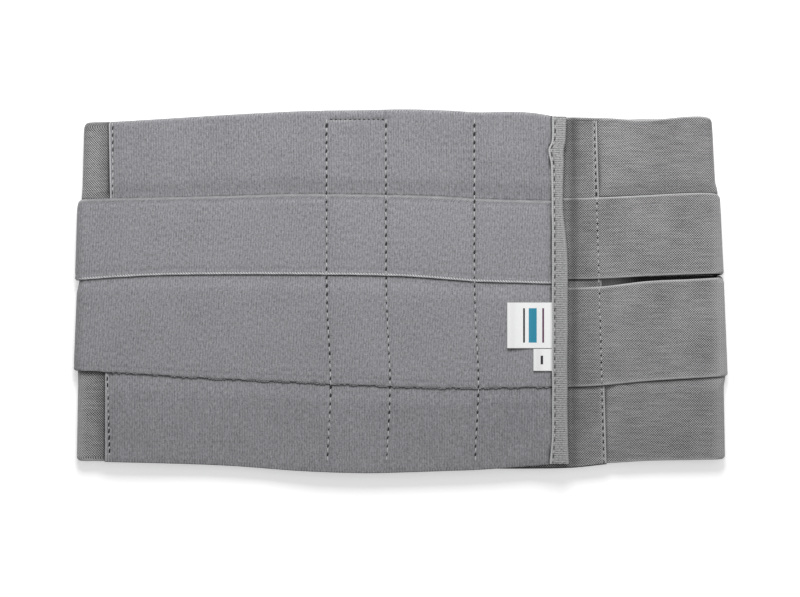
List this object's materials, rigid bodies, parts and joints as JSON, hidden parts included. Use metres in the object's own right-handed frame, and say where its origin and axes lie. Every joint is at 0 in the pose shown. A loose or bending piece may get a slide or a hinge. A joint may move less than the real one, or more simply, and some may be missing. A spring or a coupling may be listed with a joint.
{
  "type": "abdominal binder",
  "caption": "Wide elastic belt of sewn bands with a plush closing flap, fastened into a loop and laid flat.",
  "frame": {"origin": "bottom centre of the box round the flat-laid belt, on the surface it lies on", "axes": "+X along the belt towards the right fold, +Y up its height, +Z away from the surface, out of the flap"},
  "size_m": [0.42, 0.2328, 0.0172],
  "materials": {
    "elastic": "matte",
    "plush": "matte",
    "binding": "matte",
    "hook": "satin",
    "label": "satin"
  },
  "bodies": {
    "root": {"elastic_band_1": "elastic", "elastic_band_2": "elastic", "elastic_band_3": "elastic", "elastic_band_4": "elastic", "underlap_panel": "elastic", "plush_band_1": "plush", "plush_band_2": "plush", "plush_band_3": "plush", "plush_band_4": "plush", "end_binding": "binding", "hook_tape_1": "hook", "hook_tape_2": "hook", "woven_label": "label", "size_tab": "label"}
  },
  "joints": []
}
